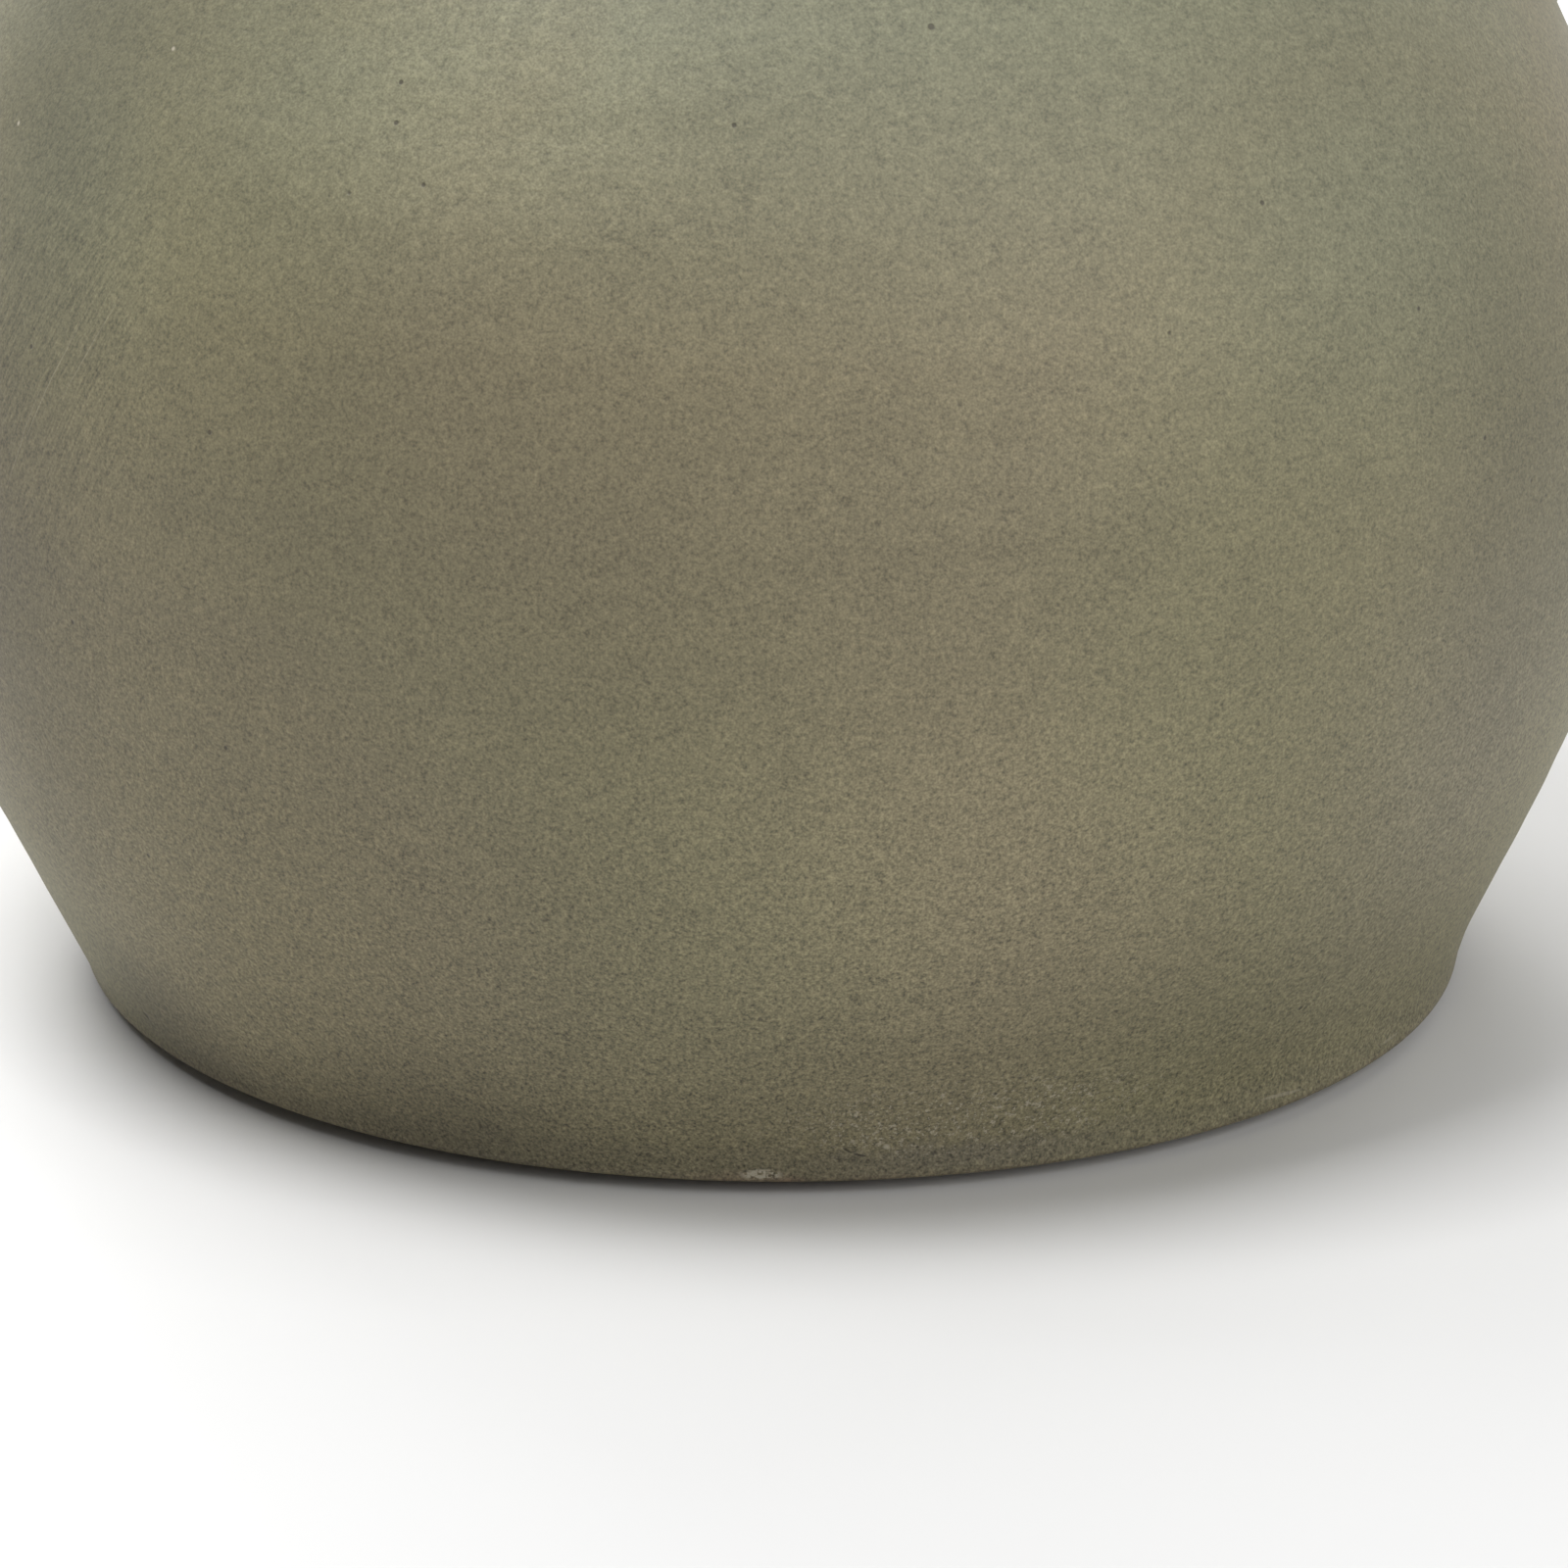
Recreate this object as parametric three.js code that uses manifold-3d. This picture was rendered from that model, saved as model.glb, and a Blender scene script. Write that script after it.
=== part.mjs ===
// A stoneware milk jug: a round thrown pot, a spout set over a notch cut in its neck, a pulled
// strap handle, and the coils of soft clay worked into the three joints.
// Millimetres and degrees, +Z up. The origin is the centre of the foot, on the table.
// The spout points along -X and the handle along +X.

import * as THREE from 'three';
import { mergeVertices } from 'three/addons/utils/BufferGeometryUtils.js';
import Module from 'manifold-3d';

const wasm = await Module();
wasm.setup();

// The thrown pot
const potHeight = 95; // table to the top of the rim
const bellyRadius = 50; // half of the widest diameter
const bellyHeight = 34.4; // height of the widest point
const bellyCurve = 51.2; // radius of the belly's curve, seen from the side
const wallLean = 25.5; // lower wall, off upright
const footBevel = 1.4; // bevel trimmed round the foot
const neckRadius = 29; // outside, at the narrowest
const neckCurve = 12; // radius of the hollow curve from shoulder to neck
const neckFlare = 14; // neck above the hollow, off upright
const wall = 4; // wall of belly and neck
const rimThickness = 3.4;
const floorThickness = 5.5;
const floorFillet = 8; // curve inside, between floor and wall

// The spout
const spoutFootRise = 32.1; // widest point of the belly up to where its keel leaves the shoulder
const spoutReach = 49.5; // axis of the pot to the tip of the lip
const spoutFootWidth = 12; // across the outside, low on the shoulder
const spoutLipWidth = 28; // across the outside, at the lip
const spoutRoot = 27; // axis of the pot to the widest line of the spout
const spoutPoint = 0.18; // how far the section narrows towards the keel, 0 for an ellipse
const spoutOpening = 0.8; // below 1 it widens sooner than it climbs
const spoutWall = 3.6; // at the foot
const spoutLipWall = 3.2;
const lipRise = 9; // lip climbs outward from the rim, off level

// The handle
const handleTopDrop = 11.5; // rim down to the centre line where it meets the neck
const handleFootRise = 18.6; // widest point of the belly up to the centre line at the foot
const handleReach = 66; // axis of the pot to the furthest of the centre line
const handleWidth = 13; // strap, halfway
const handleThickness = 7;
const handleTopWidth = 18;
const handleTopThickness = 10;
const handleFootWidth = 17;
const handleFootThickness = 8.5;
const handleArch = 0.28; // pull above the top joint, as a share of the handle's height
const handleFall = 0.36; // pull above the foot joint, as a share of the handle's height
const handleDraw = 0.2; // the foot's pull stands out past the middle and the top's stays within

// The joints
const jointGap = 0.3; // film of slip between two pieces
const coilLeg = 4; // how far a worked coil runs out over each of the pieces it joins
const coilEndLeg = 2; // thinned out where the spout's coil stops below the rim
const coilHollow = 0.6; // 0 for a flat face, 1 for one that meets both pieces smoothly
const coilCover = 1; // how far the middle of the face is drawn back out over the seam
const coilStop = 4; // rim to the ends of the spout's coil
const coilSink = 1; // how deep a coil's section is drawn before it is trimmed

// Facets
const turnSteps = 60;
const bellySteps = 14;
const neckSteps = 5;
const lipSteps = 6;
const filletSteps = 5;
const spoutLevels = 14;
const spoutSides = 36;
const handleSteps = 30;
const handleSides = 20;
const coilSteps = 36;
const coilCurveSteps = 4;
const coilReach = 3; // steps to either side that its direction is taken from
const seamSpread = 1.5; // above 1 draws the steps of the spout's seam together at its foot
const halvings = 30;
const mergeWithin = 1e-4;

const lean = THREE.MathUtils.degToRad(wallLean);
const flare = THREE.MathUtils.degToRad(neckFlare);
const rise = THREE.MathUtils.degToRad(lipRise);
const spoutFoot = bellyHeight + spoutFootRise;
const handleTop = potHeight - handleTopDrop;
const handleFoot = bellyHeight + handleFootRise;

// Side view of the pot: x is the radius and y the height
const bellyCentre = new THREE.Vector2(bellyRadius - bellyCurve, bellyHeight);
const neckOut = neckRadius + neckCurve;
const neckCentre = new THREE.Vector2(
  neckOut,
  bellyHeight + Math.sqrt((bellyCurve + neckCurve) ** 2 - (neckOut - bellyCentre.x) ** 2),
);
const shoulder = neckCentre.clone().sub(bellyCentre).angle();
const wallTop = bellyHeight - bellyCurve * Math.sin(lean);
const footRadius = bellyCentre.x + bellyCurve * Math.cos(lean) - wallTop * Math.tan(lean);

function arc(centre, radius, from, to, steps) {
  return Array.from({ length: steps + 1 }, (_, i) => {
    const angle = from + ((to - from) * i) / steps;
    const spoke = new THREE.Vector2(Math.cos(angle), Math.sin(angle));
    return spoke.multiplyScalar(radius).add(centre);
  });
}

// Belly and neck of the pot, moved outward by an offset, from the lower wall up to the flare
function bellyAndNeck(offset) {
  const belly = arc(bellyCentre, bellyCurve + offset, -lean, shoulder, bellySteps);
  const neck = arc(neckCentre, neckCurve - offset, Math.PI + shoulder, Math.PI - flare, neckSteps);
  return [...belly, ...neck.slice(1)];
}

function wallAt(height, offset) {
  const radius = footRadius + offset / Math.cos(lean) + height * Math.tan(lean);
  return new THREE.Vector2(radius, height);
}

function flareAt(height, offset) {
  const start = bellyAndNeck(offset).at(-1);
  return new THREE.Vector2(start.x + (height - start.y) * Math.tan(flare), height);
}

function potProfile() {
  const rimRound = rimThickness / 2;
  const outerRim = flareAt(potHeight - rimRound, 0);
  const rimCentre = new THREE.Vector2(outerRim.x - rimRound, outerRim.y);
  const filletCentre = wallAt(floorThickness + floorFillet, -wall - floorFillet);
  return [
    new THREE.Vector2(0, 0),
    new THREE.Vector2(footRadius - footBevel, 0),
    wallAt(footBevel, 0),
    ...bellyAndNeck(0),
    ...arc(rimCentre, rimRound, 0, Math.PI, lipSteps),
    ...bellyAndNeck(-wall).reverse(),
    ...arc(filletCentre, floorFillet, -lean, -Math.PI / 2, filletSteps),
    new THREE.Vector2(0, floorThickness),
  ];
}

// The pot as a solid block, grown by an offset and carried on past the rim, to trim what sits on it
function potBlock(offset) {
  const over = flareAt(2 * potHeight, offset);
  return turned([
    new THREE.Vector2(0, -bellyRadius),
    wallAt(-bellyRadius, offset),
    ...bellyAndNeck(offset),
    over,
    new THREE.Vector2(0, over.y),
  ]);
}

// Outside radius of the pot at a height
function potRadius(height) {
  const points = [wallAt(0, 0), ...bellyAndNeck(0), flareAt(2 * potHeight, 0)];
  const above = points.findIndex((point) => point.y >= height);
  const [low, high] = [points[above - 1], points[above]];
  return THREE.MathUtils.mapLinear(height, low.y, high.y, low.x, high.x);
}

function turned(profile) {
  return solid(new THREE.LatheGeometry(profile, turnSteps).rotateX(Math.PI / 2));
}

// A closed solid for joining and cutting, from a closed geometry
function solid(geometry) {
  const bare = new THREE.BufferGeometry();
  bare.setAttribute('position', geometry.getAttribute('position'));
  bare.setIndex(geometry.index);
  const merged = mergeVertices(bare, mergeWithin);
  const corners = merged.index.array;
  const kept = [];
  for (let i = 0; i < corners.length; i += 3) {
    const [a, b, c] = corners.subarray(i, i + 3);
    if (a !== b && b !== c && c !== a) kept.push(a, b, c);
  }
  const vertProperties = merged.getAttribute('position').array;
  return new wasm.Manifold(new wasm.Mesh({ numProp: 3, vertProperties, triVerts: new Uint32Array(kept) }));
}

// Skins rings of points into one closed surface, capped at both ends or running back to its start
function skinned(rings, loop = false) {
  const sides = rings[0].length;
  const corners = [];
  const spans = loop ? rings.length : rings.length - 1;
  for (let i = 0; i < spans; i++) {
    const low = i * sides;
    const high = ((i + 1) % rings.length) * sides;
    for (let k = 0; k < sides; k++) {
      const next = (k + 1) % sides;
      corners.push(low + k, low + next, high + next, low + k, high + next, high + k);
    }
  }
  const last = (rings.length - 1) * sides;
  for (let k = 1; k < sides - 1 && !loop; k++) {
    corners.push(0, k + 1, k, last, last + k, last + k + 1);
  }
  const positions = rings.flat().flatMap((point) => point.toArray());
  const geometry = new THREE.BufferGeometry();
  geometry.setAttribute('position', new THREE.Float32BufferAttribute(positions, 3));
  geometry.setIndex(corners);
  return solid(geometry);
}

function around(sides, place) {
  return Array.from({ length: sides }, (_, k) => place((2 * Math.PI * k) / sides));
}

// Halves the span between a parameter that holds and one that doesn't, down to the crossing
function crossing(holds, yes, no) {
  for (let i = 0; i < halvings; i++) {
    const middle = (yes + no) / 2;
    if (holds(middle)) yes = middle;
    else no = middle;
  }
  return yes;
}

// The spout

const keelFoot = potRadius(spoutFoot);
const spoutStart = -0.08; // share below the foot, inside the shoulder's wall
const spoutOver = 0.2; // share past the lip, where the channel is cut on

// Distance of the keel from the pot's axis: upright at the foot and swept out to the lip
function keelAt(share) {
  return THREE.MathUtils.lerp(keelFoot, spoutReach, Math.max(share, 0) ** 2);
}

// A point of the spout's skin, drawn in by an inset: share runs from 0 at the foot to 1 at the lip,
// and the angle from 0 at the keel
function spoutPointAt(share, angle, inset = 0) {
  const climb = Math.max(share, 0);
  const reach = keelAt(share) - spoutRoot - inset;
  const halfWidth = THREE.MathUtils.lerp(spoutFootWidth, spoutLipWidth, climb ** spoutOpening) / 2 - inset;
  const out = spoutRoot + reach * Math.cos(angle);
  const across = halfWidth * Math.sin(angle) * (1 - spoutPoint * Math.max(Math.cos(angle), 0));
  const lift = Math.tan(rise * climb) * (out - neckRadius);
  return new THREE.Vector3(-out, -across, THREE.MathUtils.lerp(spoutFoot, potHeight, share) + lift);
}

// A block with the spout's shape: side 0 is its outer skin and 1 its channel, and the lip's rounded
// edge draws the skin in and opens the channel out
function spoutBlock(side, grow = 0) {
  const lipRound = spoutLipWall / 2;
  const perMillimetre = 1 / (potHeight - spoutFoot);
  const lipStart = 1 - lipRound * perMillimetre;
  const ring = (share, round) => {
    const thickness = THREE.MathUtils.lerp(spoutWall, spoutLipWall, Math.max(share, 0));
    const inset = side * thickness + (1 - 2 * side) * round - grow;
    return around(spoutSides, (angle) => spoutPointAt(share, angle, inset));
  };
  const rings = Array.from({ length: spoutLevels + 1 }, (_, i) =>
    ring(THREE.MathUtils.lerp(spoutStart, lipStart, i / spoutLevels), 0),
  );
  for (let i = 1; i <= lipSteps / 2; i++) {
    const angle = (Math.PI * i) / lipSteps;
    const share = lipStart + lipRound * perMillimetre * Math.sin(angle);
    rings.push(ring(share, lipRound * (1 - Math.cos(angle))));
  }
  if (side) rings.push(ring(1 + spoutOver, lipRound));
  return skinned(rings);
}

const channel = spoutBlock(1);

// The handle

const handleLine = (() => {
  const top = new THREE.Vector3(potRadius(handleTop) - wall / 2, 0, handleTop);
  const foot = new THREE.Vector3(potRadius(handleFoot) - wall / 2, 0, handleFoot);
  const height = handleTop - handleFoot;
  const bow = (8 * handleReach - top.x - foot.x) / 6; // both pulls, to reach as far as stated
  const pullTop = new THREE.Vector3(bow - handleDraw * height, 0, handleTop + handleArch * height);
  const pullFoot = new THREE.Vector3(bow + handleDraw * height, 0, handleFoot + handleFall * height);
  return new THREE.CubicBezierCurve3(top, pullTop, pullFoot, foot);
})();

function strap(along, top, middle, foot) {
  const end = along < 0.5 ? top : foot;
  return THREE.MathUtils.lerp(middle, end, (2 * along - 1) ** 2);
}

// A point of the handle's skin: along runs from 0 at the top to 1 at the foot, and the angle from 0
// on the inside of the loop
function handlePointAt(along, angle, grow = 0) {
  const tangent = handleLine.getTangent(along);
  const inward = new THREE.Vector3(tangent.z, 0, -tangent.x);
  const thickness = strap(along, handleTopThickness, handleThickness, handleFootThickness);
  const width = strap(along, handleTopWidth, handleWidth, handleFootWidth);
  const point = handleLine.getPoint(along);
  point.addScaledVector(inward, Math.cos(angle) * (thickness / 2 + grow));
  point.y += Math.sin(angle) * (width / 2 + grow);
  return point;
}

function handleBlock(grow = 0) {
  const rings = Array.from({ length: handleSteps + 1 }, (_, i) =>
    around(handleSides, (angle) => handlePointAt(i / handleSteps, angle, grow)),
  );
  return skinned(rings);
}

// The seams, each a list of points where a skin meets the pot, with the skin's normal there

function outsidePot(point) {
  return Math.hypot(point.x, point.y) > potRadius(point.z);
}

function seamPoint(skin, u, v) {
  const nudge = 1e-3;
  const point = skin(u, v);
  const alongU = skin(u + nudge, v).sub(skin(u - nudge, v));
  const alongV = skin(u, v + nudge).sub(skin(u, v - nudge));
  return { point, normal: alongU.cross(alongV).normalize() };
}

// From below the rim down one side of the spout, round its foot and up the other
function spoutSeam() {
  const top = 1 - coilStop / (potHeight - spoutFoot);
  const half = coilSteps / 2;
  return Array.from({ length: coilSteps + 1 }, (_, i) => {
    const turn = (i - half) / half;
    const share = top * Math.abs(turn) ** seamSpread;
    const outside = (angle) => outsidePot(spoutPointAt(share, angle));
    const angle = crossing(outside, 0, Math.PI / 2);
    const seam = seamPoint(spoutPointAt, share, Math.sign(turn) * angle);
    return { ...seam, normal: seam.normal.negate() };
  });
}

// Right round the handle, at its top or its foot
function handleSeam(end) {
  return around(handleSides, (angle) => {
    const outside = (along) => outsidePot(handlePointAt(along, angle));
    const seam = seamPoint(handlePointAt, crossing(outside, 0.5, end), angle);
    return { ...seam, normal: seam.normal.negate() };
  });
}

// How far the pot's skin faces upward at a height
function potTilt(height) {
  if (height < wallTop) return -lean;
  const neckFoot = bellyHeight + bellyCurve * Math.sin(shoulder);
  if (height < neckFoot) return Math.asin((height - bellyHeight) / bellyCurve);
  return Math.asin(Math.max((neckCentre.y - height) / neckCurve, -Math.sin(flare)));
}

function potNormal(point) {
  const tilt = potTilt(point.z);
  const normal = new THREE.Vector3(point.x, point.y, 0).setLength(Math.cos(tilt));
  return normal.setZ(Math.sin(tilt));
}

// A coil of clay worked into a seam until its face is hollow, before it is trimmed against the pot
// and the piece that it holds
function workedCoil(seam, loop, endLeg = coilLeg) {
  const near = (i) => seam.at(loop ? i % seam.length : THREE.MathUtils.clamp(i, 0, seam.length - 1)).point;
  const rings = seam.map(({ point, normal }, i) => {
    const before = near(i - coilReach);
    const after = near(i + coilReach);
    const run = after.clone().sub(before).normalize();
    const up = potNormal(point);
    const overPot = run.clone().cross(up).normalize();
    overPot.multiplyScalar(Math.sign(overPot.dot(normal)));
    const overPiece = run.clone().cross(normal).normalize();
    overPiece.multiplyScalar(Math.sign(overPiece.dot(up)));
    const middle = loop ? 1 : Math.sin((Math.PI * i) / (seam.length - 1));
    const leg = THREE.MathUtils.lerp(endLeg, coilLeg, Math.sqrt(middle));
    const onPot = point.clone().addScaledVector(overPot, leg);
    const onPiece = point.clone().addScaledVector(overPiece, leg);
    const out = normal.clone().add(up).normalize();
    const pull = onPot.clone().lerp(onPiece, 0.5).lerp(point, coilHollow);
    pull.addScaledVector(out, coilCover);
    const face = new THREE.QuadraticBezierCurve3(onPot, pull, onPiece).getPoints(coilCurveSteps);
    const sunk = [
      onPiece.clone().addScaledVector(normal, -coilSink),
      point.clone().addScaledVector(normal, -coilSink).addScaledVector(up, -coilSink),
      onPot.clone().addScaledVector(up, -coilSink),
    ];
    const ring = [...face, ...sunk];
    return overPot.cross(overPiece).dot(run) > 0 ? ring : ring.reverse();
  });
  return skinned(rings, loop);
}

const glaze = new THREE.MeshStandardMaterial({ color: 0x827b63, roughness: 0.62, metalness: 0 });

function piece(name, shape) {
  const { vertProperties, triVerts } = shape.getMesh();
  const geometry = new THREE.BufferGeometry();
  geometry.setAttribute('position', new THREE.BufferAttribute(vertProperties, 3));
  geometry.setIndex(new THREE.BufferAttribute(triVerts, 1));
  geometry.computeVertexNormals();
  const mesh = new THREE.Mesh(geometry, glaze);
  mesh.name = name;
  return mesh;
}

const potGrown = potBlock(jointGap);
const spoutGrown = spoutBlock(0, jointGap);
const handleGrown = handleBlock(jointGap);

const pot = turned(potProfile()).subtract(channel);
const spout = spoutBlock(0).subtract(channel).subtract(potGrown);
const handle = handleBlock().subtract(potGrown);
const trimmed = (coil, piece) => coil.subtract(potGrown).subtract(piece);
const spoutCoil = trimmed(workedCoil(spoutSeam(), false, coilEndLeg), spoutGrown);
const handleTopCoil = trimmed(workedCoil(handleSeam(0), true), handleGrown);
const handleFootCoil = trimmed(workedCoil(handleSeam(1), true), handleGrown);

const jug = new THREE.Group();
jug.add(
  piece('thrown_pot', pot),
  piece('spout', spout),
  piece('handle', handle),
  piece('spout_joint_coil', spoutCoil),
  piece('handle_top_joint_coil', handleTopCoil),
  piece('handle_foot_joint_coil', handleFootCoil),
);

export default jug;
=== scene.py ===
"""A hand-thrown stoneware milk jug in a matte olive glaze, standing on a white sweep.

Lengths are written in millimetres. A piece is shaped in millimetres and brought to metres when it is
finished. +Z is up, the spout points along -X and the handle along +X, and the origin is the centre
of the foot.
"""

import math

import bmesh
import bpy
from mathutils import Matrix, Vector
from mathutils.kdtree import KDTree


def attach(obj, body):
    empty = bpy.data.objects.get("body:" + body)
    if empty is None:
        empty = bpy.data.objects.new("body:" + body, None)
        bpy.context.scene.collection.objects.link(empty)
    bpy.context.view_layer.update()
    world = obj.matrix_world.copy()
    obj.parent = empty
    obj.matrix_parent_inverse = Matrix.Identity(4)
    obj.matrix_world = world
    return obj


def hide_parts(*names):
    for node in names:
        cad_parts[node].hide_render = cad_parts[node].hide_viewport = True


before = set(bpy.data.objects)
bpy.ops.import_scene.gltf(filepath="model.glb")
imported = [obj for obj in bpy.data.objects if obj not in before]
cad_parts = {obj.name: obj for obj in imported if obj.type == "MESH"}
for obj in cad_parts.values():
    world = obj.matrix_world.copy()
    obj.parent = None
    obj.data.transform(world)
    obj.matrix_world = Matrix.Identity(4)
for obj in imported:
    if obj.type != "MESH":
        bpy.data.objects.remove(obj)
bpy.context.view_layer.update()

MM = 0.001

# The thrown pot
pot_height = 95.0
belly_radius = 50.0
belly_height = 34.4
belly_curve = 51.2
wall_lean = 25.5
foot_bevel = 1.4
neck_radius = 29.0
neck_curve = 12.0
neck_flare = 14.0
wall = 4.0
rim_thickness = 3.4
floor_thickness = 5.5
floor_fillet = 8.0
foot_hollow = 0.35
foot_ring = 7.0
bevel_softness = 0.9
foot_lift = 0.2
edge_inset, edge_drop = 0.12, 0.45
edge_outset, edge_climb = 0.15, 0.4

# The spout
spout_foot_rise = 32.1
spout_reach = 49.5
spout_foot_width = 12.0
spout_lip_width = 28.0
spout_root = 27.0
spout_sharpness = 0.18
spout_opening = 0.8
spout_wall = 3.6
spout_lip_wall = 3.2
lip_rise = 9.0
spout_skin_length = 34.0

# The handle
handle_top_drop = 11.5
handle_foot_rise = 18.6
handle_reach = 66.0
handle_width = 13.0
handle_thickness = 7.0
handle_top_width = 18.0
handle_top_thickness = 10.0
handle_foot_width = 17.0
handle_foot_thickness = 8.5
handle_arch = 0.28
handle_fall = 0.36
handle_draw = 0.2
handle_groove = 0.35
groove_narrowing = 6
handle_top_past = -0.1
handle_foot_past = 1.1

# The worked joints
coil_leg = 4.0
coil_hollow = 0.62
coil_depth = 1.6
edge_sink = 0.04
rim_leg = 4.6
throat_leg = 3.4
rim_leg_reach = 14.0
seam_crowding = 1.6

# How far pieces are let into the pot's wall, so that no gap shows
spout_let_in = 1.5
lining_let_in = 0.9
notch_outside = 2.2
notch_inside = 2.9
handle_let_in = 2.2

# The pot leans a little, as it came off the wheel
pot_tilt = 0.0127

# Its foot spreads towards one side
foot_spread = 1.05
foot_spread_turn = 290.0
foot_spread_height = 4.5
foot_spread_narrowing = 5

# It is a little out of round, and shows the rise of the thrower's hands: depth, turn or spacing
oval_depth, oval_turn = 0.12, 0.7
three_sided_depth, three_sided_turn, three_sided_twist = 0.08, 2.1, 40
ridge_depth, ridge_spacing = 0.035, 7.5
fine_ridge_depth, fine_ridge_spacing = 0.02, 3.1
ridges_start = 20

# Where the glaze runs thin: where that starts and where it is full, as distances below the rim and the
# lip, above the foot, inside the foot's edge, and from the middle of the strap
thin_rim_from, thin_rim_full = 3.0, 0.4
thin_lip_from, thin_lip_full = 2.8, 0.4
thin_foot_from, thin_foot_full, thin_foot_share = 1.6, 0.2, 0.5
thin_underside_from, thin_underside_full = 8, 2
thin_strap_from, thin_strap_full, thin_strap_share, thin_strap_reach = 4.6, 6.6, 0.45, 18
underside_margin = 0.05

# How finely the pieces are drawn
pot_steps = 240
under_steps = 16
belly_steps = 72
neck_steps = 20
lining_steps = 40
rim_steps = 12
fillet_steps = 10
spout_levels = 56
lip_levels = 8
spout_sides = 40
handle_sides = 64
handle_steps = 120
seam_steps = 60
seam_rim_steps = 16
handle_seam_steps = 96
coil_steps = 16
seam_reach = 4
halvings = 34
nudge = 1e-3
slope_nudge = 0.05
pole_radius = 1e-3
merge_distance = 1e-4
side_margin = 1e-6

# Where the camera's right lies, in degrees round from +X
camera_azimuth = 332.0

LEAN = math.radians(wall_lean)
FLARE = math.radians(neck_flare)
RISE = math.radians(lip_rise)
BELLY_CENTRE = (belly_radius - belly_curve, belly_height)
NECK_OUT = neck_radius + neck_curve
NECK_RISE = math.sqrt((belly_curve + neck_curve) ** 2 - (NECK_OUT - BELLY_CENTRE[0]) ** 2)
NECK_HEIGHT = belly_height + NECK_RISE
SHOULDER = math.atan2(NECK_RISE, NECK_OUT - BELLY_CENTRE[0])
WALL_TOP = belly_height - belly_curve * math.sin(LEAN)
FOOT_RADIUS = BELLY_CENTRE[0] + belly_curve * math.cos(LEAN) - WALL_TOP * math.tan(LEAN)
SPOUT_FOOT = belly_height + spout_foot_rise
HANDLE_TOP = pot_height - handle_top_drop
HANDLE_FOOT = belly_height + handle_foot_rise
CAMERA_TURN = math.radians(camera_azimuth)
CAMERA_RIGHT = Vector((math.cos(CAMERA_TURN), math.sin(CAMERA_TURN), 0))
LIP_ROUND = spout_lip_wall / 2


def lerp(a, b, share):
    return a + (b - a) * share


def smooth(low, high, value):
    """0 below low and 1 above high, with a soft step between."""
    share = min(max((value - low) / (high - low), 0.0), 1.0)
    return share * share * (3 - 2 * share)


def arc(centre, radius, start, end, steps):
    angles = [start + (end - start) * i / steps for i in range(steps + 1)]
    return [(centre[0] + radius * math.cos(a), centre[1] + radius * math.sin(a)) for a in angles]


def line(start, end, steps):
    """Points from start to just before end."""
    shares = [i / steps for i in range(steps)]
    return [(lerp(start[0], end[0], share), lerp(start[1], end[1], share)) for share in shares]


def side_radius(height, offset=0.0):
    """Radius of the pot's side at a height, with the side moved outward by an offset."""
    belly, neck = belly_curve + offset, neck_curve - offset
    if height < belly_height - belly * math.sin(LEAN):
        return FOOT_RADIUS + offset / math.cos(LEAN) + height * math.tan(LEAN)
    if height < belly_height + belly * math.sin(SHOULDER):
        return BELLY_CENTRE[0] + math.sqrt(belly**2 - (height - belly_height) ** 2)
    over = height - NECK_HEIGHT
    if over < neck * math.sin(FLARE):
        return NECK_OUT - math.sqrt(neck**2 - over**2)
    return NECK_OUT - neck * math.cos(FLARE) + (over - neck * math.sin(FLARE)) * math.tan(FLARE)


RIM_HEIGHT = pot_height - rim_thickness / 2
RIM_CENTRE = (side_radius(RIM_HEIGHT) - rim_thickness / 2, RIM_HEIGHT)


def inside_radius(height):
    """Radius of the pot's hollow at a height."""
    flare_foot = NECK_HEIGHT + (neck_curve + wall) * math.sin(FLARE)
    if height < flare_foot:
        return side_radius(height, -wall)
    share = (height - flare_foot) / (RIM_CENTRE[1] - flare_foot)
    return lerp(side_radius(flare_foot, -wall), RIM_CENTRE[0] - rim_thickness / 2, share)


def level_of(point):
    """The direction straight out from the pot's axis, and the distance from the axis."""
    level = Vector((point.x, point.y, 0))
    return level.normalized(), level.length


def on_pot(point, inside=False):
    """A point brought onto the pot's skin: its outside, its inside or the round of its rim."""
    out, radius = level_of(point)
    if point.z > RIM_CENTRE[1]:
        over = Vector((radius - RIM_CENTRE[0], point.z - RIM_CENTRE[1])).normalized() * rim_thickness / 2
        return out * (RIM_CENTRE[0] + over.x) + Vector((0, 0, RIM_CENTRE[1] + over.y))
    return out * (inside_radius(point.z) if inside else side_radius(point.z)) + Vector((0, 0, point.z))


def pot_normal(point, inside=False):
    """The direction in which the pot's skin faces the air at a point on it."""
    out, radius = level_of(point)
    if point.z > RIM_CENTRE[1]:
        over = Vector((radius - RIM_CENTRE[0], point.z - RIM_CENTRE[1])).normalized()
        return out * over.x + Vector((0, 0, over.y))
    radius_at = inside_radius if inside else side_radius
    slope = (radius_at(point.z + slope_nudge) - radius_at(point.z - slope_nudge)) / (2 * slope_nudge)
    normal = (out - Vector((0, 0, slope))).normalized()
    return -normal if inside else normal


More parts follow.
